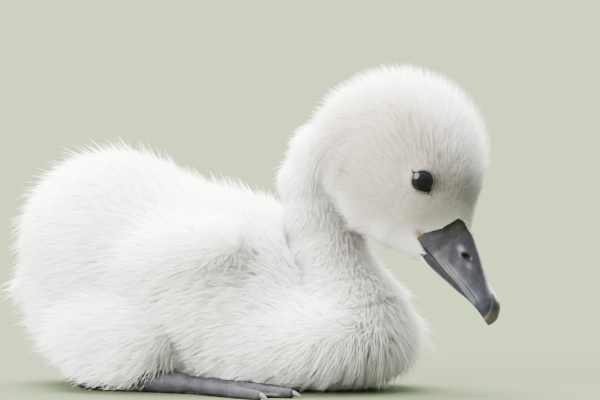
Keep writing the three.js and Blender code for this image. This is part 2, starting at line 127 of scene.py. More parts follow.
def ellipsoid(p, form):
    turn = math.radians(form["pitch"])
    d = p - np.array(form["at"])
    local = np.stack(
        (
            d[..., 0] * math.cos(turn) - d[..., 2] * math.sin(turn),
            d[..., 1],
            d[..., 0] * math.sin(turn) + d[..., 2] * math.cos(turn),
        ),
        axis=-1,
    )
    radii = np.array(form["radii"], float)
    scaled = np.linalg.norm(local / radii, axis=-1)
    slope = np.linalg.norm(local / radii**2, axis=-1)
    return scaled * (scaled - 1) / np.maximum(slope, 1e-6)


def cone(p, start, end, radii, flatten=1):
    start, end = np.array(start, float), np.array(end, float)
    axis = end - start
    offset = p - start
    t = np.clip(offset @ axis / (axis @ axis), 0, 1)
    away = offset - t[..., None] * axis
    away[..., 2] /= flatten
    return (np.linalg.norm(away, axis=-1) - (radii[0] + (radii[1] - radii[0]) * t)) * flatten


def nape_share(p):
    """How far a place lies from the throat's crease towards the nape, from 0 to 1."""
    behind = 0.68 * (p[..., 2] - NAPE["crease"][1]) - 0.73 * (p[..., 0] - NAPE["crease"][0])
    return smoothstep(behind, NAPE["low"], NAPE["high"])


def neck_field(p):
    across = p[..., 1] / (1 + NAPE["spread"] * nape_share(p))
    q = np.stack((p[..., 0], across, p[..., 2]), axis=-1)
    parts = [cone(q, a, b, (ra, rb)) for (a, ra), (b, rb) in zip(NECK, NECK[1:])]
    field = parts[0]
    for part in parts[1:]:
        field = smooth_min(field, part, NECK_BLEND)
    return field


BILL_AXIS = np.array((math.cos(BILL_PITCH), 0, -math.sin(BILL_PITCH)))
BILL_UP = np.array((math.sin(BILL_PITCH), 0, math.cos(BILL_PITCH)))


def to_bill(p):
    """Points as (along, across, up) in the bill's own frame."""
    d = p - np.array(BILL_ORIGIN)
    return d @ BILL_AXIS, p[..., 1], d @ BILL_UP


def from_bill(along, across, up):
    along, across, up = np.broadcast_arrays(along, across, up)
    side = np.zeros(along.shape + (3,))
    side[..., 1] = across
    return np.array(BILL_ORIGIN) + along[..., None] * BILL_AXIS + up[..., None] * BILL_UP + side


def curve_through(pairs):
    """A smooth function through (x, y) pairs: a Catmull-Rom spline, sampled finely."""
    pts = np.array(pairs, float)
    ends = np.vstack((2 * pts[0] - pts[1], pts, 2 * pts[-1] - pts[-2]))
    t = np.linspace(0, 1, 16, endpoint=False)[:, None]
    rows = []
    for a, b, c, d in zip(ends, ends[1:], ends[2:], ends[3:]):
        rows.append(
            0.5 * (2 * b + (c - a) * t + (2 * a - 5 * b + 4 * c - d) * t**2)
            + 0.5 * (3 * b - 3 * c + d - a) * t**3
        )
    line = np.vstack(rows + [pts[-1:]])
    return lambda x: np.interp(x, line[:, 0], line[:, 1])


ridge_height = curve_through(
    [(-10, 18.2), (0, 15.6), (8, 13.2), (16, 10.4), (24, 7.7), (30, 6.8), (34.2, 4.8)]
)
half_width = curve_through(
    [(-10, 7.6), (0, 7), (8, 6.5), (15, 5.7), (22, 5.2), (28, 5.5), (34.2, 5.2)]
)
mouth_height = curve_through(
    [(-10, 0.6), (0, 0), (10, 0.3), (20, 1), (27, 1.3), (31, 1), (34.2, 0)]
)
keel_depth = curve_through([(-10, -5.6), (0, -5.4), (6, -4.6), (14, -2.8), (22, -1.1), (30, -0.4)])


def feather_edge(across, up):
    """How far along the bill the feathers reach, at each place round it."""
    side = 2.8 * smoothstep(up, 1.5, 10.5) + np.interp(-up, JAW_EDGE["below_mouth"], JAW_EDGE["along"])
    over = np.maximum(0, 1 - np.abs(across) / FOREHEAD_POINT["half_width"]) ** FOREHEAD_POINT["taper"]
    high = smoothstep(up, FOREHEAD_POINT["low"], FOREHEAD_POINT["high"])
    under = np.maximum(0, 1 - (across / CHIN_POINT["half_width"]) ** 2)
    low = smoothstep(-up, 1.2, -CHIN_POINT["low"])
    edge = side + (FOREHEAD_POINT["along"] - side) * over * high
    edge = edge + (CHIN_POINT["along"] - side) * under * low
    return edge + 12 * smoothstep(up, 14.2, 16)


def face_field(p):
    along, across, up = to_bill(p)
    spread = FACE_COVER + 0.62 * np.maximum(0, 7 - along)
    top = ridge_height(along) + spread
    bottom = keel_depth(along) - CHIN_COVER - 0.3 * np.maximum(0, 5 - along)
    middle, tall = (top + bottom) / 2, (top - bottom) / 2
    wide = half_width(along) + spread * 0.9
    round_ = np.hypot((up - middle) / tall, across / wide)
    tube = (round_ - 1) * np.minimum(tall, wide)
    edge = feather_edge(across, up) + SKIN_REACH
    return np.maximum(np.maximum(tube, along - edge), -along - 16)


def trunk_field(p):
    field = smooth_min(ellipsoid(p, RUMP), ellipsoid(p, BARREL), TRUNK_BLEND)
    field = smooth_min(field, ellipsoid(p, BREAST), TRUNK_BLEND)
    field = smooth_min(field, ellipsoid(p, VENT), VENT_BLEND)
    field = smooth_min(field, cone(p, TAIL["start"], TAIL["end"], TAIL["radii"], TAIL["flatten"]), TAIL_BLEND)
    field = smooth_min(field, ellipsoid(mirrored(p), THIGH), LEG_BLEND)
    return smooth_min(field, ellipsoid(mirrored(p), WING), WING_BLEND)


def head_field(p):
    field = smooth_min(ellipsoid(p, SKULL), cone(p, **CHIN), HEAD_BLEND)
    return smooth_min(field, face_field(p), HEAD_BLEND / 2)


def coat_depth(p, trunk, neck, head):
    """How deep the down is over the skin: least round the bill and eye, most on the back."""
    along, across, up = to_bill(p)
    under_chin = smoothstep(along, -13, -1) * smoothstep(-up, -1, 5)
    from_bill_root = np.hypot(along - 2, up - 7) * (1 - under_chin)
    on_head = FACE_COVER + 3.5 * smoothstep(from_bill_root, 6, 31)
    from_eye = np.linalg.norm(mirrored(p) - EYE_CENTRE - 3 * EYE_AXIS, axis=-1)
    on_head = on_head * (1 - 0.72 * np.exp(-((from_eye / 4.8) ** 4)))
    on_head = on_head + (CHIN_COVER - FACE_COVER - 0.1) * smoothstep(-up, 0.5, 4)
    past_edge = along - feather_edge(across, up)
    on_head = on_head + (1.6 + 0.9 * smoothstep(-up, -0.5, 0.5)) * smoothstep(past_edge, 0.1, 1.2)
    on_trunk = 3 + 5 * smoothstep(p[..., 2], 0, 16)
    on_neck = 4.2
    fields = np.stack((trunk, neck, head), axis=-1)
    weights = np.exp(-(fields - fields.min(axis=-1, keepdims=True)) / 3.0)
    weights /= weights.sum(axis=-1, keepdims=True)
    return weights[..., 0] * on_trunk + weights[..., 1] * on_neck + weights[..., 2] * on_head


def body_fields(p):
    """(field of the tips of the down, depth of the down there, weights of trunk, neck, head)."""
    trunk, neck, head = trunk_field(p), neck_field(p), head_field(p)
    blend = THROAT_BLEND + NAPE["blend"] * nape_share(p)
    whole = smooth_min(smooth_min(trunk, neck, NECK_ROOT_BLEND), head, blend)
    return whole, coat_depth(p, trunk, neck, head), (trunk, neck, head)


FLOOR_SKIN = 1.2  # the skin stays this far above the floor


def skin_field(p):
    whole, depth, _ = body_fields(p)
    return np.maximum(whole + depth, FLOOR_SKIN - p[..., 2])


def gradient(field, p, step=0.05):
    columns = []
    for axis in range(3):
        shift = np.zeros(3)
        shift[axis] = step
        columns.append((field(p + shift) - field(p - shift)) / (2 * step))
    return np.stack(columns, axis=-1)


# ---- From a field to a mesh: one vertex in each cell that the surface crosses --------------------


def mesh_of_field(field, low, high, cell):
    axes = [np.arange(a, b + cell, cell) for a, b in zip(low, high)]
    shape = tuple(len(a) for a in axes)
    grid = np.stack(np.meshgrid(*axes, indexing="ij"), axis=-1)
    values = np.concatenate([field(slab) for slab in np.array_split(grid, 12)], axis=0)
    inside = values < 0

    cells = tuple(n - 1 for n in shape)
    total = np.zeros(cells + (3,))
    crossings = np.zeros(cells)
    corner = [np.array(c) for c in np.ndindex(2, 2, 2)]
    for a in corner:
        for axis in range(3):
            if a[axis]:
                continue
            b = a.copy()
            b[axis] = 1
            at_a = values[tuple(slice(s, s + n) for s, n in zip(a, cells))]
            at_b = values[tuple(slice(s, s + n) for s, n in zip(b, cells))]
            crossed = (at_a < 0) != (at_b < 0)
            t = np.where(crossed, at_a / np.where(crossed, at_a - at_b, 1), 0)
            point = a + t[..., None] * (b - a)
            total += np.where(crossed[..., None], point, 0)
            crossings += crossed
    used = crossings > 0
    where = np.argwhere(used)
    number = -np.ones(cells, int)
    number[used] = np.arange(len(where))
    vertices = np.array(low) + cell * (where + total[used] / crossings[used][:, None])

    quads = []
    for axis in range(3):
        u, v = (axis + 1) % 3, (axis + 2) % 3
        first = [slice(None)] * 3
        second = [slice(None)] * 3
        first[axis], second[axis] = slice(0, -1), slice(1, None)
        change = inside[tuple(first)] != inside[tuple(second)]
        for p in np.argwhere(change):
            if p[u] == 0 or p[v] == 0 or p[u] >= cells[u] or p[v] >= cells[v]:
                continue
            ring = []
            for du, dv in ((1, 1), (0, 1), (0, 0), (1, 0)):
                q = p.copy()
                q[u] -= du
                q[v] -= dv
                ring.append(number[tuple(q)])
            quads.append(ring if inside[tuple(p)] else ring[::-1])
    return vertices, np.array(quads)


def settle(field, points, rounds=3):
    for _ in range(rounds):
        slope = gradient(field, points)
        value = field(points)
        points = points - value[:, None] * slope / np.maximum(dot(slope, slope), 0.05)
    return points


# ---- Blender meshes ---------------------------------------------------------------------------------


def make_mesh(name, vertices, faces, smooth=True):
    mesh = bpy.data.meshes.new(name)
    mesh.from_pydata((np.asarray(vertices) * METRES).tolist(), [], [list(map(int, f)) for f in faces])
    mesh.validate()
    if smooth:
        mesh.polygons.foreach_set("use_smooth", np.ones(len(mesh.polygons), bool))
    piece = bpy.data.objects.new(name, mesh)
    bpy.context.scene.collection.objects.link(piece)
    return piece


def set_colours(mesh, name, colours):
    layer = mesh.color_attributes.new(name, "FLOAT_COLOR", "POINT")
    rgba = np.ones((len(colours), 4), np.float32)
    rgba[:, :3] = colours
    layer.data.foreach_set("color", rgba.ravel())


def settle_on_body(piece):
    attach(piece, "root")


# ---- Markings and painted shade, the same for skin and coat ---------------------------------------------

WHITE = np.array((0.87, 0.855, 0.82))
# Cream: partly a real tint of the face, partly painted shade on the side of the head.
CREAM_AND_SHADE = np.array((0.56, 0.515, 0.43))
# Beige: a real tint on the lores and round the eye, and painted shade on the cheek and in the crease of the neck.
BEIGE_AND_SHADE = np.array((0.395, 0.36, 0.285))
PINKISH = np.array((0.78, 0.66, 0.60))
GAPE = np.array((0.15, 0.062, 0.024))
NECK_SHADE = dict(at=np.array((40, 8, 49)), radii=np.array((9, 12, 9)), share=0.5)
# Near black: the real dark border where the horn meets the down, and painted shade inside the nostril.
HORN_ROOT_AND_NOSTRIL_SHADE = np.array((0.006, 0.0055, 0.005))


def toward(colour, target, share):
    return colour + share[:, None] * (target - colour)


def ripple(a, b, seed):
    """A smooth, irregular wave over two coordinates, from -1 to 1."""
    rng = np.random.default_rng(seed)
    total = 0
    for _ in range(5):
        fa, fb, phase = rng.uniform(0.4, 1.6), rng.uniform(0.4, 1.6), rng.uniform(0, 6.28)
        total = total + np.sin(fa * a + fb * b + phase)
    return total / 3


def markings_and_shade(p):
    """The coat's colour at a point of the body: its markings, with painted shade on the side of the head, the cheek
    and the neck.
    """
    q = mirrored(p)
    along, across, up = to_bill(q)
    colour = np.tile(WHITE, (len(p), 1))
    on_head = smoothstep(-head_field(q), -6, 2)
    # Painted shade, partly a real cream tint: the side of the head below the crown is darker, as if turned from the
    # light that falls on the crown.
    crown = smoothstep(up, 22, 34)
    side = on_head * (1 - crown) * smoothstep(q[:, 1], 6, 17)
    colour = toward(colour, CREAM_AND_SHADE, side)
    from_eye = np.linalg.norm(q - EYE_CENTRE, axis=1)
    lores = on_head * np.exp(-(((along + 2) / 8) ** 2)) * smoothstep(up, 1, 6) * (1 - smoothstep(up, 18, 26))
    colour = toward(colour, BEIGE_AND_SHADE, 0.6 * lores)
    colour = toward(colour, BEIGE_AND_SHADE, 0.45 * np.exp(-((from_eye / 8) ** 2)))
    # Painted shade, partly a real beige tint: the cheek is darker, where the face is turned from the light.
    cheek_tint_and_shade = np.linalg.norm((q - np.array((55, 20, 62))) / np.array((15, 12, 14)), axis=1)
    colour = toward(colour, BEIGE_AND_SHADE, 0.9 * on_head * np.exp(-(cheek_tint_and_shade**2)))
    ear = np.linalg.norm((q - np.array((47, 21, 76))) / np.array((6, 10, 8)), axis=1)
    colour = toward(colour, PINKISH, 0.35 * on_head * np.exp(-(ear**2)))
    flank = np.linalg.norm((q - np.array((8, 38, 38))) / np.array((22, 12, 14)), axis=1)
    colour = toward(colour, PINKISH, 0.18 * np.exp(-(flank**2)))
    # Painted shade in the crease under the cheek, where the head shades the neck, with a little of the real darker
    # bases of the down.
    shaded = np.linalg.norm((q - NECK_SHADE["at"]) / NECK_SHADE["radii"], axis=1)
    colour = toward(colour, BEIGE_AND_SHADE, NECK_SHADE["share"] * np.exp(-(shaded**2)))
    past_edge = along - feather_edge(across, up) + 0.3 * ripple(across * 9, up * 9, 6)
    beside_horn = smoothstep(past_edge, 0, 0.45) * smoothstep(up, 0.6, 2.0) * on_head
    colour = toward(colour, HORN_ROOT_AND_NOSTRIL_SHADE, 0.97 * beside_horn)
    gape = np.exp(-(((along + 0.3) / 1.2) ** 2) - ((up - 2.6) / 1.5) ** 2) * on_head
    return toward(colour, GAPE, 0.95 * gape * smoothstep(q[:, 1], 5, 8))


# ---- Eyes and lids ------------------------------------------------------------------------------------------

EYE_LONG = unit(np.array((0.513, -0.426, -0.778)))
EYE_LONG = unit(EYE_LONG - (EYE_LONG @ EYE_AXIS) * EYE_AXIS)
EYE_SHORT = np.cross(EYE_AXIS, EYE_LONG)

LID = np.array((0.08, 0.087, 0.09))
LID_EDGE = np.array((0.03, 0.021, 0.015))
CANTHUS = np.array((0.045, 0.027, 0.018))


def lens_radius(turn, canthus):
    """Radius, at each turn round the eye, of a slim lens that reaches out to a canthus."""
    off = turn - canthus["turn"]
    c, s = np.maximum(np.cos(off), 0), np.abs(np.sin(off))
    bow = canthus["width"] * (c / canthus["reach"]) ** 2
    root = (-s + np.sqrt(s**2 + 4 * bow * canthus["width"])) / np.maximum(2 * bow, 1e-6)
    return np.where(c > 0.05, root, 0)


def eye_opening(turn):
    """Radius of the opening between the lids, at each turn round the eye."""
    slim = np.maximum(lens_radius(turn, FORE_CANTHUS), lens_radius(turn, REAR_CANTHUS))
    return -smooth_min(-slim, -np.full_like(turn, EYE_OPENING), 0.8)


def past_lid(p):
    """How far a place near the eye is outside the opening between the lids."""
    offset = mirrored(p) - EYE_CENTRE
    a, b = offset @ EYE_LONG, offset @ EYE_SHORT
    away = np.hypot(a, b) - eye_opening(np.arctan2(b, a))
    return np.where((offset @ EYE_AXIS > 0) & (np.linalg.norm(offset, axis=1) < 9), away, 9)


# Stations across a lid: distance out from the opening, share of the way from the skin up to
# the rim, and a small lift.
LID_STATIONS = (
    (-0.45, 1, -0.75),
    (-0.14, 1, -0.30),
    (-0.02, 1, -0.07),
    (0.10, 1, 0.02),
    (0.24, 1, 0.02),
    (0.36, 0.92, -0.06),
    (0.46, 0.82, -0.11),
    (0.58, 0.7, -0.03),
    (0.75, 0.45, 0),
    (0.95, 0.2, -0.05),
    (1.2, -0.1, -0.1),
    (1.6, -0.5, -0.3),
)


def lid_patch():
    """The lids of the left eye: rings round the opening, from its floor out to the skin."""
    around = 128
    turn = np.linspace(0, 2 * math.pi, around, endpoint=False)
    opening = eye_opening(turn)
    spoke = np.cos(turn)[:, None] * EYE_LONG + np.sin(turn)[:, None] * EYE_SHORT
    level = np.full(around, 2.0)
    rim = None
    rings, colours = [], []
    slit = smoothstep(opening, 3.5, 4.3)
    stations = [(-share, None, None) for share in (0.9, 0.6, 0.3)] + list(LID_STATIONS)
    for out, share, lift in stations:
        radius = opening * (1 + out) if share is None else opening + out
        flat = EYE_CENTRE + radius[:, None] * spoke
        for _ in range(6):
            level = level - 0.8 * skin_field(flat + level[:, None] * EYE_AXIS)
        ball = np.sqrt(np.maximum(EYE_RADIUS**2 - radius**2, 0))
        floor = np.maximum(ball - 0.5, level + 0.05)
        if share is None:
            height = floor
        else:
            at_rim = np.sqrt(np.maximum(EYE_RADIUS**2 - opening**2, 0))
            rim = np.maximum(at_rim + 0.13, level + 0.38)
            height = level + share * (rim - level) + lift
            if out < -0.1:
                height = np.maximum(np.minimum(height, np.maximum(ball - 0.3, floor)), floor)
        rings.append(flat + height[:, None] * EYE_AXIS)
        colour = np.tile(CANTHUS, (around, 1))
        if share is not None and out > -0.1:
            upper = 0.75 + 0.25 * np.sin(turn + 2.2)
            colour = LID * upper[:, None]
            if out < 0.05:
                colour = np.tile(LID_EDGE, (around, 1))
            # Painted shade: the outer lid takes the coat's colour at half its brightness, like the shaded down round
            # the eye.
            outward = np.full(around, float(smoothstep(out, 0.35, 0.9)))
            colour = toward(colour, 0.5 * markings_and_shade(rings[-1]), outward)
            colour = toward(colour, CANTHUS, 0.75 * slit * (1 - float(smoothstep(out, 0.1, 0.7))))
        colours.append(colour)
    vertices = np.concatenate(rings)
    faces = []
    for i in range(len(rings) - 1):
        for k in range(around):
            n = (k + 1) % around
            faces.append((i * around + k, (i + 1) * around + k, (i + 1) * around + n, i * around + n))
    return vertices, np.array(faces), np.concatenate(colours)


def build_eye(name, side):
    """A ball whose poles lie on the eye's axis, with iris and pupil as rings round it."""
    around, steps = 64, 72
    vertices, colours = [], []
    for i in range(steps + 1):
        polar = math.pi * (i / steps) ** 1.15
        radius = EYE_RADIUS * math.sin(polar)
        height = EYE_RADIUS * math.cos(polar)
        for k in range(around):
            turn = 2 * math.pi * k / around
            spoke = math.cos(turn) * EYE_LONG + math.sin(turn) * EYE_SHORT
            vertices.append(EYE_CENTRE + radius * spoke + height * EYE_AXIS)
            fleck = 0.85 + 0.3 * math.sin(turn * 23 + 3 * math.sin(turn * 5))
            iris = float(smoothstep(radius, 2.0, 2.25) * (1 - smoothstep(radius, 2.7, 3.05)))
            colours.append(np.array((0.002, 0.002, 0.0025)) + iris * fleck * np.array((0.0028, 0.0024, 0.0014)))
    vertices = np.array(vertices) * (1, side, 1)
    faces = []
    for i in range(steps):
        for k in range(around):
            n = (k + 1) % around
            quad = (i * around + k, (i + 1) * around + k, (i + 1) * around + n, i * around + n)
            faces.append(quad if side > 0 else quad[::-1])
    eye = make_mesh(name, vertices, faces)
    set_colours(eye.data, "marks", np.array(colours))
    return eye


# ---- The skin ------------------------------------------------------------------------------------------------

SKIN_CELL = 1.15


def build_skin():
    vertices, quads = mesh_of_field(skin_field, (-84, -50.6, -3.45), (92, 50.6, 104), SKIN_CELL)
    vertices = settle(skin_field, vertices, 2)
    colours = markings_and_shade(vertices) * 0.92
    lid, lid_faces, lid_colours = lid_patch()
    parts = [(vertices, quads, colours)]
    parts.append((lid, lid_faces, lid_colours))
    parts.append((lid * (1, -1, 1), lid_faces[:, ::-1], lid_colours))
    all_vertices, all_faces, start = [], [], 0
    for points, faces, _ in parts:
        all_vertices.append(points)
        all_faces.append(faces + start)
        start += len(points)
    skin = make_mesh("skin", np.concatenate(all_vertices), np.concatenate(all_faces))
    set_colours(skin.data, "marks", np.concatenate([c for _, _, c in parts]))
    return skin, vertices, quads


# ---- The coat -------------------------------------------------------------------------------------------------

TRIANGLES_PER_PIECE = 190000
STRAND_SINK = 0.35  # how far a strand's root goes below the skin
PATCH = 0.003  # size of a strand's patch in the map OFBake
HEAD_DOWN_REACH = 2.5  # how far the fine down of the head runs on over the neck


def sample_roots(vertices, quads, density, rng):
    """Points spread evenly over the skin, as many to each square millimetre as density says."""
    triangles = np.vstack((quads[:, [0, 1, 2]], quads[:, [0, 2, 3]]))
    a, b, c = (vertices[triangles[:, i]] for i in range(3))
    area = np.linalg.norm(np.cross(b - a, c - a), axis=1) / 2
    expected = area * density((a + b + c) / 3)
    cell = np.floor((a + b + c) / 3 / 4.0).astype(int)
    order = np.lexsort((cell[:, 2], cell[:, 1], cell[:, 0]))
    steps = np.cumsum(expected[order])
    count = int(steps[-1])
    picks = order[np.searchsorted(steps, np.arange(count) + rng.random(count))]
    s, t = np.sqrt(rng.random(count)), rng.random(count)
    return (
        a[picks] * (1 - s)[:, None]
        + b[picks] * (s * (1 - t))[:, None]
        + c[picks] * (s * t)[:, None]
    )


def region_weights(p):
    trunk, neck, head = body_fields(p)[2]
    fields = np.stack((trunk, neck, head - HEAD_DOWN_REACH), axis=-1)
    weights = np.exp(-(fields - fields.min(axis=-1, keepdims=True)) / 3.0)
    return weights / weights.sum(axis=-1, keepdims=True)


def lie_of_coat(p, normals, weights):
    """The way that the down lies, along the skin: off the bill, down the neck, tailwards."""
    bill_middle = from_bill(18, 0, 3)
    from_middle = unit(p - np.array(SKULL["at"]))
    over_crown = np.stack((-from_middle[:, 2], 0.25 * from_middle[:, 1], from_middle[:, 0]), axis=1)
    share = smoothstep(-(from_middle @ BILL_AXIS), -0.2, 0.7)[:, None]
    on_head = unit((1 - share) * unit(p - bill_middle) + share * over_crown)
    on_neck = np.tile(np.array((-0.35, 0, -1.0)), (len(p), 1))
    on_neck[:, 1] = np.sign(p[:, 1]) * 0.1
    on_trunk = np.stack(
        (
            -0.9 - 0.3 * smoothstep(p[:, 0], -40, 10),
            np.sign(p[:, 1]) * 0.1,
            -0.25 - 1.1 * smoothstep(p[:, 0], 25, 55),
        ),
        axis=1,
    )
    lie = weights[:, [0]] * unit(on_trunk) + weights[:, [1]] * unit(on_neck) + weights[:, [2]] * on_head
    return unit(lie - dot(lie, normals) * normals)


def build_coat(skin_vertices, skin_quads):
    rng = np.random.default_rng(SEED)

    def density(p):
        w = region_weights(p)
        per_mm2 = w[:, 0] * 5.8 + w[:, 1] * 10 + w[:, 2] * 15.0
        under = smoothstep(p[:, 2], 1.5, 7)
        return per_mm2 * (0.25 + 0.75 * under)

    roots = sample_roots(skin_vertices, skin_quads, density, rng)
    along, across, up = to_bill(roots)
    on_face = region_weights(roots)[:, 2] > 0.5
    past_edge = along - feather_edge(across, up)
    bare = on_face & (past_edge > rng.triangular(-0.4, 0.5, 1.0, len(roots)))
    bare |= past_lid(roots) < 0.3
    roots = roots[~bare]
    print("strands", len(roots))

    normals = unit(gradient(skin_field, roots))
    weights = region_weights(roots)
    _, depth, _ = body_fields(roots)
    lie = lie_of_coat(roots, normals, weights)
    count = len(roots)
    roots = roots + (0.45 * (1 - smoothstep(past_lid(roots), 0.3, 1.3)))[:, None] * normals

    # How upright the down stands, as its shift along the skin over its height.
    on_face = weights[:, 2] * (1 - smoothstep(depth, 1.4, 3.2))
    crown = smoothstep(normals @ -BILL_AXIS, -0.2, 0.8)
    lean = weights[:, 0] * 0.85 + weights[:, 1] * 0.9 + weights[:, 2] * (0.95 - 0.45 * crown)
    lean = lean + (1.8 - lean) * on_face

    # Clumps draw the tips of their strands together.
    spacing = np.where(weights[:, 2] > 0.5, 1.6, 2.7)
    pick = rng.random(count) < 1 / (spacing**2 * density(roots))
    centres = np.flatnonzero(pick)
    tree = kdtree.KDTree(len(centres))
    for i, c in enumerate(roots[centres]):
        tree.insert(c, i)
    tree.balance()
    clump = np.array([tree.find(r)[1] for r in roots])
    clump_root = roots[centres][clump]
    jitter = rng.normal(0, 1, (len(centres), 3))[clump]
    clump_size = rng.uniform(0.92, 1.08, len(centres))[clump]

    pull = (0.28 * weights[:, 0] + 0.15 * weights[:, 1] + 0.12 * weights[:, 2]) * (1 - 0.6 * on_face)
    height = depth * clump_size * rng.beta(3.4, 1.7, count) * 1.05
    guard = rng.random(count) < (0.04 + 0.14 * weights[:, 2]) * (1 - 0.8 * on_face)
    height = np.where(guard, depth * rng.uniform(1.0, 1.4 + 0.2 * weights[:, 2]), height)
    along, across, up = to_bill(roots)
    by_horn = smoothstep(along - feather_edge(across, up), -1.2, 0) * (weights[:, 2] > 0.5)
    height = height * (1 - 0.45 * by_horn)
    pull = np.where(guard, 0.3 * pull, pull)
    sway = rng.normal(0, 1, (count, 3))
    sway -= dot(sway, normals) * normals
    stray = (0.12 * weights[:, 0] + 0.08 * weights[:, 1] + 0.1 * weights[:, 2])[:, None]
    wander = stray * jitter + 0.17 * sway
    wander -= dot(wander, normals) * normals
    shift = lie * (lean * height)[:, None] + wander * height[:, None]
    tips = roots + normals * height[:, None] + shift
    toward_clump = (clump_root - roots) * (pull * height / np.maximum(depth, 0.1))[:, None]
    tips = tips + toward_clump
    middles = roots + normals * (0.58 * height)[:, None] + shift * 0.36 + toward_clump * 0.35
    tips[:, 2] = np.maximum(tips[:, 2], 0.25 + 0.3 * rng.random(count))
    middles[:, 2] = np.maximum(middles[:, 2], 0.5)

    width = 0.24 * weights[:, 0] + 0.18 * weights[:, 1] + 0.15 * weights[:, 2]
    width = width * (1 - 0.2 * on_face) * rng.uniform(0.75, 1.25, count)
    width = np.where(guard, width * (0.8 + 0.35 * weights[:, 2]), width)
    lores = on_face * np.exp(-(((along + 3) / 9) ** 2)) * smoothstep(up, 4, 10)
    spread = 0.05 + 0.05 * weights[:, 2] + 0.14 * on_face + 0.2 * lores
    shade = 1 - spread * np.abs(rng.normal(0, 1, count)) + 0.02
    colours = markings_and_shade(roots) * np.clip(shade, 0.35, 1.05)[:, None]
    return dict(
        root=roots - normals * STRAND_SINK,
        middle=middles,
        tip=tips,
        normal=normals,
        width=width,
        colour=colours,
        weights=weights,
    )


def name_regions(p, weights):
    """The name of the coat piece that each strand belongs to."""
    side = np.where(p[:, 1] < 0, "right", "left")
    region = np.full(len(p), "flank_", dtype="<U12")
    region[p[:, 0] > 16] = "breast_"
    region[p[:, 0] < -42] = "rump_"
    back = (p[:, 2] > 44) & (p[:, 0] <= 16) & (p[:, 0] >= -42)
    region[back] = "back_"
    region[np.argmax(weights, axis=1) == 1] = "neck_"
    region[np.argmax(weights, axis=1) == 2] = "head_"
    return np.char.add(np.char.add(region, side), "_down")


def unwrap(p, on_head):
    """Where the skin under a strand is on its unwrap: round the body's line, and along it."""
    if on_head:
        d = p - np.array(SKULL["at"])
        turn = np.arctan2(d[:, 1], d @ BILL_UP)
        length = np.arccos(np.clip(unit(d) @ BILL_AXIS, -1, 1))
    else:
        turn = np.arctan2(p[:, 1], p[:, 2] - 34)
        length = p[:, 0] / 40
    flat = np.stack((turn, length), axis=1)
    low, high = flat.min(axis=0), flat.max(axis=0)
    return 0.01 + 0.98 * (flat - low) / (high - low)


AROUND = ((0, 1), (1, 2), (2, 0))
SPINDLE = dict(
    ring_at=1.0,  # how far the ring lies towards the middle point
    pointed_root=True,
    faces=[(0, 1 + n, 1 + k) for k, n in AROUND] + [(1 + k, 1 + n, 4) for k, n in AROUND],
    height=(0.0, 0.5, 0.5, 0.5, 1.0),
    shade=(0.86, 0.96, 0.96, 0.96, 1.0),
    soft=2.0,  # how far the shading follows the skin beneath and not the strand's own sides
)
SPIKE = dict(
    ring_at=0.0,
    pointed_root=False,
    faces=[(k, n, 3) for k, n in AROUND] + [(0, 2, 1)],
    height=(0.0, 0.0, 0.0, 1.0),
    shade=(0.84, 0.84, 0.84, 1.0),
    soft=0.9,
)


def strand_piece(name, s, build):
    """One mesh of closed, three-sided strands: spindles bent at the middle, or straight spikes."""
    count = len(s["root"])
    run = unit(s["tip"] - s["root"])
    side = unit(np.cross(run, s["normal"] + 1e-3))
    other = np.cross(run, side)
    points, shading = [], []
    if build["pointed_root"]:
        points.append(s["root"])
        shading.append(s["normal"])
    centre = s["root"] + build["ring_at"] * (s["middle"] - s["root"])
    for k in range(3):
        angle = 2 * math.pi * k / 3
        offset = side * math.cos(angle) + other * math.sin(angle)
        points.append(centre + offset * (s["width"] / 2)[:, None])
        shading.append(unit(offset + build["soft"] * s["normal"]))
    points.append(s["tip"])
    shading.append(unit(0.4 * run + build["soft"] * s["normal"]))
    per = len(points)
    vertices = np.stack(points, axis=1).reshape(-1, 3) * METRES

    loops = [v for face in build["faces"] for v in face]
    height = np.array(build["height"])
    across = np.arange(per) % 3 / 3
    faces = len(build["faces"]) * count
    numbers = np.arange(count)[:, None]

    mesh = bpy.data.meshes.new(name)
    mesh.vertices.add(per * count)
    mesh.vertices.foreach_set("co", vertices.ravel())
    mesh.loops.add(len(loops) * count)
    mesh.loops.foreach_set("vertex_index", (np.array(loops)[None] + per * numbers).ravel())
    mesh.polygons.add(faces)
    mesh.polygons.foreach_set("loop_start", 3 * np.arange(faces))
    mesh.update(calc_edges=True)
    mesh.polygons.foreach_set("use_smooth", np.ones(faces, bool))
    layer = mesh.uv_layers.new(name="OFBake")
    place = unwrap(s["root"], name.startswith("head"))
    patch = PATCH * np.stack((across[loops], height[loops]), axis=1)
    layer.data.foreach_set("uv", (place[:, None, :] + patch[None]).ravel())
    shade = np.array(build["shade"])
    set_colours(mesh, "marks", (s["colour"][:, None, :] * shade[None, :, None]).reshape(-1, 3))
    mesh.normals_split_custom_set_from_vertices(np.stack(shading, axis=1).reshape(-1, 3).tolist())
    piece = bpy.data.objects.new(name, mesh)
    bpy.context.scene.collection.objects.link(piece)
    return piece


def coat_pieces(strands):
    names = name_regions(strands["root"], strands["weights"])
    pieces = []
    for name in sorted(set(names)):
        members = np.flatnonzero(names == name)
        build = SPIKE if name.startswith("head") else SPINDLE
        parts = math.ceil(len(members) * len(build["faces"]) / TRIANGLES_PER_PIECE)
        order = members[np.argsort(strands["root"][members, 0], kind="stable")]
        for i, chosen in enumerate(np.array_split(order, parts)):
            part = {key: value[chosen] for key, value in strands.items()}
            label = str(name) if parts == 1 else f"{name}_{i + 1}"
            pieces.append(strand_piece(label, part, build))
            print(label, len(chosen))
    return pieces


# ---- Bill --------------------------------------------------------------------------------------------------------

NAIL_START = 27
MOUTH_LINE = 0.2
NOSTRIL = dict(along=13.5, up=8.5, across=5.6, radii=(1.4, 0.8), tilt=math.radians(14))

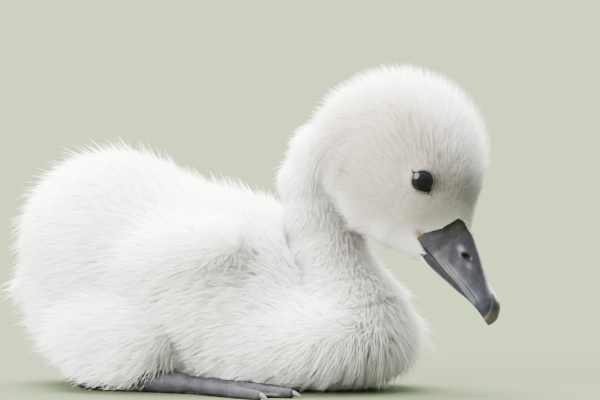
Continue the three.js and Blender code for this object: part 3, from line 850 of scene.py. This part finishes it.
HORN = np.array((0.015, 0.0142, 0.017))
HORN_LOW = np.array((0.0095, 0.0088, 0.0095))
HORN_FRONT = np.array((0.011, 0.0125, 0.0155))
FLARE_PAINTED_LIGHT = np.array((0.029, 0.026, 0.031))  # painted light: paler horn where the bill widens to meet the face, against the shade of that hollow
# Pale horn: the horn's own pale streaks, and painted highlight along the cutting edge.
HORN_PALE_AND_SHEEN = np.array((0.080, 0.080, 0.087))
NAIL_TIP = np.array((0.088, 0.064, 0.050))
NOSTRIL_RIM = np.array((0.016, 0.011, 0.008))


def tip_share(along, start, end):
    t = np.clip((along - start) / (end - start), 0, 1)
    return np.sqrt(np.maximum(0, 1 - t * t))


def root_oval(along):
    """The oval on which the bare bill carries on from the skin of the face."""
    spread = 0.62 * np.maximum(0, 7 - along)
    top = ridge_height(along) + spread - 0.1
    bottom = keel_depth(along) - 0.3 * np.maximum(0, 5 - along) + 0.1
    return (top + bottom) / 2, (top - bottom) / 2, half_width(along) + 0.9 * spread - 0.1


def upper_section(along, turn):
    """Across and up, at turns from the left edge of the bill (0) over its ridge to the right."""
    wide = half_width(along) * np.maximum(tip_share(along, NAIL_START - 1, BILL_LENGTH), 0.12)
    low = mouth_height(along) + MOUTH_LINE
    nail = tip_share(along, NAIL_START + 3, BILL_LENGTH + 0.3)
    top = low + (ridge_height(along) - mouth_height(along)) * (0.25 + 0.75 * nail)
    narrow = 1 - 0.2 * np.sin(turn) * smoothstep(26 - along, 0, 16)
    across = wide * np.cos(turn) * narrow
    up = low + (top - low) * np.sin(turn) ** 0.9
    middle, tall, broad = root_oval(along)
    start = np.arcsin(np.clip((low - middle) / tall, -1, 1))
    oval = start + (math.pi - 2 * start) * turn / math.pi
    at_root = 1 - smoothstep(along, 3, 11)
    across = across + at_root * (broad * np.cos(oval) - across)
    up = up + at_root * (middle + tall * np.sin(oval) - up)
    return across, up


def lower_section(along, turn):
    """Across and up, at turns from the left edge of the lower bill under its keel."""
    wide = (half_width(along) - 0.75) * np.maximum(tip_share(along, 20, 31), 0.3)
    top = mouth_height(along) + MOUTH_LINE - 0.3
    deep = (top - keel_depth(along)) * (1 - 0.5 * smoothstep(along, 19, 27))
    across, up = wide * np.cos(turn), top - deep * np.sin(turn)
    middle, tall, broad = root_oval(along)
    start = np.arcsin(np.clip((top - middle) / tall, -1, 1))
    oval = start - (math.pi + 2 * start) * turn / math.pi
    at_root = 1 - smoothstep(along, 1, 8)
    across = across + at_root * (broad * np.cos(oval) - across)
    up = up + at_root * (middle + tall * np.sin(oval) - up)
    return across, up


def horn_relief(along, across, up, low):
    """How far the horn of the upper bill stands out or in, in millimetres."""
    ds, du = along - NOSTRIL["along"], up - NOSTRIL["up"]
    c, t = math.cos(NOSTRIL["tilt"]), math.sin(NOSTRIL["tilt"])
    a, b = ds * c + du * t, (du * c - ds * t) * 1.15
    q = np.hypot(a / NOSTRIL["radii"][0], b / NOSTRIL["radii"][1])
    relief = -1.3 * (1 - smoothstep(q, 0.55, 1.15))
    relief = relief + 0.17 * np.exp(-(((q - 1.5) / 0.38) ** 2))
    relief = relief + 0.16 * np.exp(-(((a + 2.9) / 1.3) ** 2) - ((b / 0.8) ** 2))
    height = up - low
    middle = smoothstep(along, 3, 9) * (1 - smoothstep(along, 24, 28))
    relief = relief - 0.16 * np.exp(-(((height - 2.0) / 0.3) ** 2)) * middle
    relief = relief + 0.10 * np.exp(-(((height - 1.1) / 0.5) ** 2)) * middle
    relief = relief - 0.07 * np.exp(-(((height - 0.35) / 0.14) ** 2)) * middle
    for k in range(4):
        line = height - 0.55 - 0.32 * k - 0.12 * np.sin(along * 0.7 + 2 * k)
        relief = relief - 0.035 * np.exp(-((line / 0.07) ** 2)) * middle
    nail = np.hypot((along - 35) / 8.3, across / 4.0)
    relief = relief + 0.20 * (1 - smoothstep(nail, 0.88, 1.02))
    relief = relief - 0.10 * np.exp(-(((nail - 1.06) / 0.06) ** 2))
    return relief + 0.05 * ripple(along * 1.1, across * 1.1 + up, 3)


def horn_colour(along, across, up, low):
    colour = np.tile(HORN, (len(along), 1))
    # Painted light: the root of the upper bill is paler, against the shade of its hollow flare.
    colour = toward(colour, FLARE_PAINTED_LIGHT, (1 - smoothstep(along, 4, 10)) * smoothstep(up - low, 0, 1))
    colour = toward(colour, HORN_FRONT, smoothstep(along, 14, 27) * (0.75 + 0.25 * ripple(along, across, 5)))
    height = up - low
    colour = toward(colour, HORN_LOW, smoothstep(-height, 0, 0.3) * (1 - smoothstep(along, 18, 26)))
    grain = ripple(along * 0.8, height * 9, 8)
    middle = smoothstep(along, 4, 10) * (1 - smoothstep(along, 18, 28))
    # Pale streaks along the cutting edge: partly the horn's own streaky grain, partly painted highlight along that
    # edge.
    for level, wide, share in ((0.5, 0.3, 0.3), (1.35, 0.22, 0.42), (2.3, 0.3, 0.15)):
        line = np.exp(-(((height - level) / wide) ** 2))
        colour = toward(colour, HORN_PALE_AND_SHEEN, np.clip(middle * share * line * (1 + 0.8 * grain), 0, 1))
    # Painted highlight: a broad lighter patch above the cutting edge.
    edge_sheen = np.exp(-(((along - 15) / 4) ** 2) - ((height - 1.7) / 1.2) ** 2)
    colour = toward(colour, HORN_PALE_AND_SHEEN, np.clip(edge_sheen * (0.4 + 0.3 * grain), 0, 1))
    ds, du = along - NOSTRIL["along"], up - NOSTRIL["up"]
    q = np.hypot((ds + 0.25 * du) / NOSTRIL["radii"][0], (du - 0.25 * ds) / NOSTRIL["radii"][1])
    patch = np.exp(-(((ds + 2.9) / 1.2) ** 2) - (((du - 0.1) / 0.75) ** 2))
    colour = toward(colour, HORN_PALE_AND_SHEEN * 1.35, 0.75 * patch)
    patch = np.exp(-(((ds - 2.7) / 1.0) ** 2) - (((du + 1.2) / 0.7) ** 2))
    colour = toward(colour, HORN_PALE_AND_SHEEN, 0.45 * patch)
    colour = toward(colour, NOSTRIL_RIM, 0.7 * np.exp(-(((q - 1.25) / 0.3) ** 2)))
    # Painted shade: the nostril's hollow painted near black.
    colour = toward(colour, HORN_ROOT_AND_NOSTRIL_SHADE, 1 - smoothstep(q, 0.75, 1.05))
    tip = smoothstep(along - 0.2 * height, 29.8, 34.2)
    colour = toward(colour, NAIL_TIP, 0.85 * tip)
    past_edge = along - feather_edge(across, up)
    ragged = past_edge - 0.5 * ripple(across * 7, up * 7, 6)
    border = (1 - smoothstep(ragged, 0.6, 2.2)) * (0.35 * smoothstep(height, 0.3, 1.8) + 0.65 * smoothstep(height, 4, 10))
    colour = toward(colour, HORN_ROOT_AND_NOSTRIL_SHADE, 0.95 * border)
    gape = np.exp(-(((along + 0.3) / 1.0) ** 2) - ((height - 2.2) / 1.5) ** 2)
    return toward(colour, GAPE, 0.8 * gape)


def sink_root(along, across, up):
    """Draws the root of the horn in under the skin, behind the edge of the down."""
    behind = smoothstep(feather_edge(across, up) - along, 0.3, 2.2)
    share = 1 - 0.22 * behind
    middle = root_oval(along)[0]
    return across * share, middle + (up - middle) * share


def horn_mesh(name, section, stations, turns, relief, closing):
    """A closed tube of horn: the section's arc, and an inner floor back across the mouth."""
    along, turn = np.meshgrid(stations, turns, indexing="ij")
    across, up = sink_root(along, *section(along, turn))
    points = from_bill(along, across, up)
    low = mouth_height(along) + MOUTH_LINE
    if relief:
        d_along, d_turn = np.gradient(points, axis=0), np.gradient(points, axis=1)
        outward = unit(np.cross(d_turn, d_along))
        middle = from_bill(along, 0 * across, up[:, [0]] + 0 * up)
        outward = outward * np.sign(dot(outward, points - middle) + 1e-9)
        points = points + outward * horn_relief(along, across, up, low)[..., None]
    share = np.linspace(0, 1, 12)[1:-1]
    floor = points[:, [-1]] * (1 - share)[None, :, None] + points[:, [0]] * share[None, :, None]
    arch = closing * np.sin(math.pi * share)
    floor = floor + arch[None, :, None] * BILL_UP
    rings = np.concatenate((points, floor), axis=1)
    count, around = rings.shape[:2]
    vertices = np.concatenate((rings.reshape(-1, 3), rings[:1].mean(axis=1), rings[-1:].mean(axis=1)))
    faces = []
    for i in range(count - 1):
        for k in range(around):
            n = (k + 1) % around
            faces.append((i * around + k, (i + 1) * around + k, (i + 1) * around + n, i * around + n))
    root, tip = len(vertices) - 2, len(vertices) - 1
    outward_first = not relief
    last = (count - 1) * around
    for k in range(around):
        n = (k + 1) % around
        faces.append((root, k, n))
        faces.append((tip, last + n, last + k))
    if not outward_first:
        faces = [face[::-1] for face in faces]
    s, a, u = to_bill(vertices)
    colours = horn_colour(s, a, u, mouth_height(s) + MOUTH_LINE)
    piece = make_mesh(name, vertices, faces)
    set_colours(piece.data, "marks", colours)
    return piece


def build_bill():
    stations = np.concatenate((np.arange(-4, 26, 0.24), np.linspace(26, 33.4, 34), (33.65, 33.85, 34.0, 34.08)))
    turns = np.linspace(0, math.pi, 150)
    upper = horn_mesh("bill_upper_horn", upper_section, stations, turns, True, 0.5)
    lower_stations = np.concatenate((np.arange(-4, 26, 0.5), np.linspace(26, 28.4, 8)))
    lower = horn_mesh("bill_lower_horn", lower_section, lower_stations, np.linspace(0, math.pi, 70), False, -0.3)
    return upper, lower


# ---- Feet --------------------------------------------------------------------------------------------------------

HEEL = (-38, 27, 4.6)
TOE_JOINT = (-4, 32.5, 3.4)
SHANK_RADII = (4.4, 3.2)
TOES = (dict(heading=-13, length=30), dict(heading=8, length=38), dict(heading=27, length=35))
TOE_RADII = (2.3, 1.5)
CLAW_LENGTH = 4.2
HIND_TOE = dict(at=(-7, 31, 3.1), heading=164, length=8, radii=(1.5, 1.1), lift=2.6)

FOOT = np.array((0.019, 0.019, 0.021))
WEB = np.array((0.027, 0.0255, 0.0255))
FOOT_DARK = np.array((0.008, 0.008, 0.009))


def ahead(start, heading, length, height):
    turn = math.radians(heading)
    return (start[0] + length * math.cos(turn), start[1] + length * math.sin(turn), height)


def toe_tip(toe):
    return ahead(TOE_JOINT, toe["heading"], toe["length"], TOE_RADII[1])


def web_field(p):
    """The web between the toes: a thin sheet, its front edge drawn back in two bays."""
    d = p - np.array(TOE_JOINT)
    reach = np.hypot(d[..., 0], d[..., 1])
    heading = np.degrees(np.arctan2(d[..., 1], d[..., 0]))
    inner, middle, outer = (t["heading"] for t in TOES)
    lengths = [t["length"] for t in TOES]
    limit = np.interp(heading, (inner, middle, outer), lengths)
    first = np.sin(math.pi * np.clip((heading - inner) / (middle - inner), 0, 1))
    second = np.sin(math.pi * np.clip((heading - middle) / (outer - middle), 0, 1))
    limit = limit * (1 - 0.17 * (first + second))
    beside = np.maximum(inner - heading, heading - outer) * reach * math.pi / 180
    sag = 0.35 + 0.5 * (first + second) * 0.3
    fold = 0.16 * np.sin(heading * 1.1) * smoothstep(reach, 8, 20)
    sheet = np.abs(p[..., 2] - 0.95 + sag * 0.4 - fold) - 0.42
    return np.maximum(np.maximum(reach - limit, beside), sheet)


def foot_field(p):
    field = cone(p, HEEL, TOE_JOINT, SHANK_RADII)
    for toe in TOES:
        tip = toe_tip(toe)
        bone = cone(p, TOE_JOINT, tip, TOE_RADII)
        offset = p - np.array(TOE_JOINT)
        heading = math.radians(toe["heading"])
        out = offset[..., 0] * math.cos(heading) + offset[..., 1] * math.sin(heading)
        above = smoothstep(p[..., 2], 1.2, 3.0)
        scutes = 0.16 * np.abs(np.sin(math.pi * out / 1.7)) * above * smoothstep(out, 2, 5)
        for joint in (0.36, 0.68):
            bone = bone - 0.32 * np.exp(-(((out - joint * toe["length"]) / 2.2) ** 2))
        field = smooth_min(field, bone - scutes + 0.08, 0.9)
    hind = ahead(HIND_TOE["at"], HIND_TOE["heading"], HIND_TOE["length"], HIND_TOE["lift"])
    field = smooth_min(field, cone(p, HIND_TOE["at"], hind, HIND_TOE["radii"]), 0.8)
    field = smooth_min(field, web_field(p), 0.7)
    grain = 0.04 * np.sin(p[..., 0] * 5.1 + np.sin(p[..., 1] * 3)) * np.sin(p[..., 1] * 4.7)
    return np.maximum(field + grain, 0.02 - p[..., 2])


def build_foot(name, side):
    vertices, quads = mesh_of_field(foot_field, (-43.6, 21.7, -0.7), (36.7, 51.6, 9.6), 0.42)
    vertices = settle(foot_field, vertices, 1)
    vertices[:, 2] = np.maximum(vertices[:, 2], 0)
    if side < 0:
        vertices, quads = vertices * (1, -1, 1), quads[:, ::-1]
    foot = make_mesh(name, vertices, quads)
    p = mirrored(vertices)
    on_web = 1 - smoothstep(p[:, 2], 1.2, 2.2)
    colour = np.tile(FOOT, (len(p), 1))
    colour = toward(colour, WEB, 0.8 * on_web)
    patch = 0.5 + 0.5 * ripple(p[:, 0] * 0.5, p[:, 1] * 0.6, 9)
    colour = toward(colour, FOOT_DARK, np.clip(0.45 * patch, 0, 1))
    set_colours(foot.data, "marks", colour)
    return foot


def build_claws(name, side):
    """The claws of one foot: short bent cones, one on each toe."""
    toes = [(toe_tip(toe), toe["heading"], CLAW_LENGTH, 1.15) for toe in TOES]
    hind = ahead(HIND_TOE["at"], HIND_TOE["heading"], HIND_TOE["length"], HIND_TOE["lift"])
    toes.append((hind, HIND_TOE["heading"], 2.6, 0.8))
    vertices, faces, shades = [], [], []
    around, steps = 16, 14
    for start, heading, length, thick in toes:
        turn = math.radians(heading)
        ahead_of = np.array((math.cos(turn), math.sin(turn), 0))
        beside = np.array((-math.sin(turn), math.cos(turn), 0))
        base = len(vertices)
        for i in range(steps + 1):
            t = i / steps
            radius = thick * (1 - t) ** 0.62 + 0.06
            centre = np.array(start) + ahead_of * (length + 0.6) * (t - 0.12)
            centre[2] = start[2] + 0.25 * math.sin(math.pi * t) - (start[2] - 0.35) * t**2
            for k in range(around):
                angle = 2 * math.pi * k / around
                offset = beside * math.cos(angle) * 0.8 * radius
                point = centre + offset + np.array((0, 0, radius * math.sin(angle)))
                point[2] = max(point[2], 0.03)
                vertices.append(point)
                shades.append(t)
        for i in range(steps):
            for k in range(around):
                n = (k + 1) % around
                a, b = base + i * around, base + (i + 1) * around
                faces.append((a + k, a + n, b + n, b + k))
        faces.append(tuple(base + steps * around + k for k in range(around)))
        faces.append(tuple(base + k for k in reversed(range(around))))
    vertices = np.array(vertices) * (1, side, 1)
    if side < 0:
        faces = [f[::-1] for f in faces]
    claws = make_mesh(name, vertices, faces)
    colour = toward(np.tile(np.array((0.035, 0.033, 0.035)), (len(vertices), 1)), NAIL_TIP, 0.5 * np.array(shades))
    set_colours(claws.data, "marks", colour)
    return claws


# ---- Materials ---------------------------------------------------------------------------------------------------


def new_material(name):
    material = bpy.data.materials.new(name)
    material.use_nodes = True
    return material, material.node_tree.nodes, material.node_tree.links


def down_material():
    material, nodes, links = new_material("down")
    shader = nodes["Principled BSDF"]
    marks = nodes.new("ShaderNodeAttribute")
    marks.attribute_name = "marks"
    noise = nodes.new("ShaderNodeTexNoise")
    noise.inputs["Scale"].default_value = 900
    noise.inputs["Detail"].default_value = 3
    place = nodes.new("ShaderNodeTexCoord")
    links.new(place.outputs["Object"], noise.inputs["Vector"])
    shades = nodes.new("ShaderNodeValToRGB")
    shades.color_ramp.elements[0].position = 0.3
    shades.color_ramp.elements[0].color = (0.9, 0.89, 0.87, 1)
    shades.color_ramp.elements[1].position = 0.65
    shades.color_ramp.elements[1].color = (1, 1, 1, 1)
    links.new(noise.outputs["Fac"], shades.inputs["Fac"])
    tint = nodes.new("ShaderNodeMix")
    tint.data_type = "RGBA"
    tint.blend_type = "MULTIPLY"
    tint.inputs["Factor"].default_value = 1
    links.new(marks.outputs["Color"], tint.inputs["A"])
    links.new(shades.outputs["Color"], tint.inputs["B"])
    links.new(tint.outputs["Result"], shader.inputs["Base Color"])
    shader.inputs["Roughness"].default_value = 0.75
    shader.inputs["Specular IOR Level"].default_value = 0.12
    through = nodes.new("ShaderNodeBsdfTranslucent")
    links.new(tint.outputs["Result"], through.inputs["Color"])
    mix = nodes.new("ShaderNodeMixShader")
    mix.inputs["Fac"].default_value = 0.42
    links.new(shader.outputs["BSDF"], mix.inputs[1])
    links.new(through.outputs["BSDF"], mix.inputs[2])
    links.new(mix.outputs["Shader"], nodes["Material Output"].inputs["Surface"])
    return material


def horn_material(name, roughness, grain, bump, gloss):
    """Marks as painted on the mesh, broken by grain, with a fine relief."""
    material, nodes, links = new_material(name)
    shader = nodes["Principled BSDF"]
    marks = nodes.new("ShaderNodeAttribute")
    marks.attribute_name = "marks"
    place = nodes.new("ShaderNodeTexCoord")
    noise = nodes.new("ShaderNodeTexNoise")
    noise.inputs["Scale"].default_value = grain
    noise.inputs["Detail"].default_value = 5
    noise.inputs["Roughness"].default_value = 0.62
    links.new(place.outputs["Object"], noise.inputs["Vector"])
    shades = nodes.new("ShaderNodeValToRGB")
    shades.color_ramp.elements[0].position = 0.3
    shades.color_ramp.elements[0].color = (0.72, 0.72, 0.72, 1)
    shades.color_ramp.elements[1].position = 0.7
    shades.color_ramp.elements[1].color = (1.25, 1.25, 1.25, 1)
    links.new(noise.outputs["Fac"], shades.inputs["Fac"])
    tint = nodes.new("ShaderNodeMix")
    tint.data_type = "RGBA"
    tint.blend_type = "MULTIPLY"
    tint.inputs["Factor"].default_value = 1
    links.new(marks.outputs["Color"], tint.inputs["A"])
    links.new(shades.outputs["Color"], tint.inputs["B"])
    links.new(tint.outputs["Result"], shader.inputs["Base Color"])
    relief = nodes.new("ShaderNodeBump")
    relief.inputs["Strength"].default_value = bump
    relief.inputs["Distance"].default_value = 0.0002
    links.new(noise.outputs["Fac"], relief.inputs["Height"])
    links.new(relief.outputs["Normal"], shader.inputs["Normal"])
    shader.inputs["Roughness"].default_value = roughness
    shader.inputs["Specular IOR Level"].default_value = gloss
    return material


# ---- Floor, light and camera ---------------------------------------------------------------------------------------

CAMERA_AZIMUTH = math.radians(20)
CAMERA_ELEVATION = math.radians(3)
CAMERA_DISTANCE = 2200
CAMERA_TARGET = (21.7, -20, 59.5)  # along its right, along its depth, up
LENS, SENSOR = 425.8, 36


def camera_axes():
    right = np.array((math.cos(CAMERA_AZIMUTH), math.sin(CAMERA_AZIMUTH), 0))
    depth = np.array((-math.sin(CAMERA_AZIMUTH), math.cos(CAMERA_AZIMUTH), 0))
    return right, depth


def build_camera():
    right, depth = camera_axes()
    target = CAMERA_TARGET[0] * right + CAMERA_TARGET[1] * depth + np.array((0, 0, CAMERA_TARGET[2]))
    back = -depth * math.cos(CAMERA_ELEVATION) + np.array((0, 0, math.sin(CAMERA_ELEVATION)))
    data = bpy.data.cameras.new("camera")
    data.lens, data.sensor_width = LENS, SENSOR
    data.clip_start, data.clip_end = 0.05, 50
    camera = bpy.data.objects.new("camera", data)
    camera.location = (target + back * CAMERA_DISTANCE) * METRES
    camera.rotation_euler = (math.pi / 2 - CAMERA_ELEVATION, 0, CAMERA_AZIMUTH)
    bpy.context.scene.collection.objects.link(camera)
    bpy.context.scene.camera = camera


def build_stage():
    """A wide, level, pale floor."""
    around, reach = 96, 30000
    turns = [2 * math.pi * k / around for k in range(around)]
    vertices = [(reach * math.cos(turn), reach * math.sin(turn), 0) for turn in turns]
    floor = make_mesh("floor", vertices, [tuple(range(around))])
    material, nodes, links = new_material("floor")
    shader = nodes["Principled BSDF"]
    shader.inputs["Base Color"].default_value = (0.048, 0.059, 0.034, 1)
    shader.inputs["Roughness"].default_value = 1
    shader.inputs["Specular IOR Level"].default_value = 0
    floor.data.materials.append(material)


def soft_sun(name, toward_it, angle, strength):
    """Even light from a broad disc of sky that lies the way toward_it points."""
    data = bpy.data.lights.new(name, "SUN")
    data.angle = math.radians(angle)
    data.energy = strength
    light = bpy.data.objects.new(name, data)
    x, y, z = unit(toward_it)
    light.rotation_euler = (math.acos(z), 0, math.atan2(x, -y))
    bpy.context.scene.collection.objects.link(light)


def build_light():
    right, depth = camera_axes()
    world = bpy.data.worlds.new("studio")
    world.use_nodes = True
    world.node_tree.nodes["Background"].inputs["Color"].default_value = (0.95, 0.97, 1.0, 1)
    world.node_tree.nodes["Background"].inputs["Strength"].default_value = 2.1
    bpy.context.scene.world = world
    up = np.array((0, 0, 1))
    soft_sun("key", -0.15 * right + 0.3 * depth + 1.0 * up, 50, 58)
    soft_sun("side", -1.0 * right - 0.75 * depth + 0.55 * up, 50, 31)
    soft_sun("rim", 0.55 * right + 0.9 * depth + 0.6 * up, 40, 18)


build_camera()
build_stage()
build_light()
down = down_material()
skin, skin_vertices, skin_quads = build_skin()
skin.data.materials.append(down)
settle_on_body(skin)
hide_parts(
    "head", "neck", "trunk", "tail", "wing_left", "wing_right", "leg_left", "leg_right"
)
strands = build_coat(skin_vertices, skin_quads)
for piece in coat_pieces(strands):
    piece.data.materials.append(down)
    settle_on_body(piece)

horn = horn_material("bill_horn", 0.42, 700, 0.35, 0.13)
upper, lower = build_bill()
for piece, node in ((upper, "bill_upper"), (lower, "bill_lower")):
    piece.data.materials.append(horn)
    settle_on_body(piece)
    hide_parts(node)

wet = horn_material("eye", 0.17, 900, 0.0, 0.1)
leather = horn_material("foot_skin", 0.6, 900, 0.5, 0.08)
for side, sign in (("left", 1), ("right", -1)):
    eye = build_eye("eyeball_" + side, sign)
    eye.data.materials.append(wet)
    settle_on_body(eye)
    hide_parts("eye_" + side)
    foot = build_foot("foot_skin_" + side, sign)
    foot.data.materials.append(leather)
    settle_on_body(foot)
    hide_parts("foot_" + side)
    claws = build_claws("claws_" + side, sign)
    claws.data.materials.append(horn)
    settle_on_body(claws)
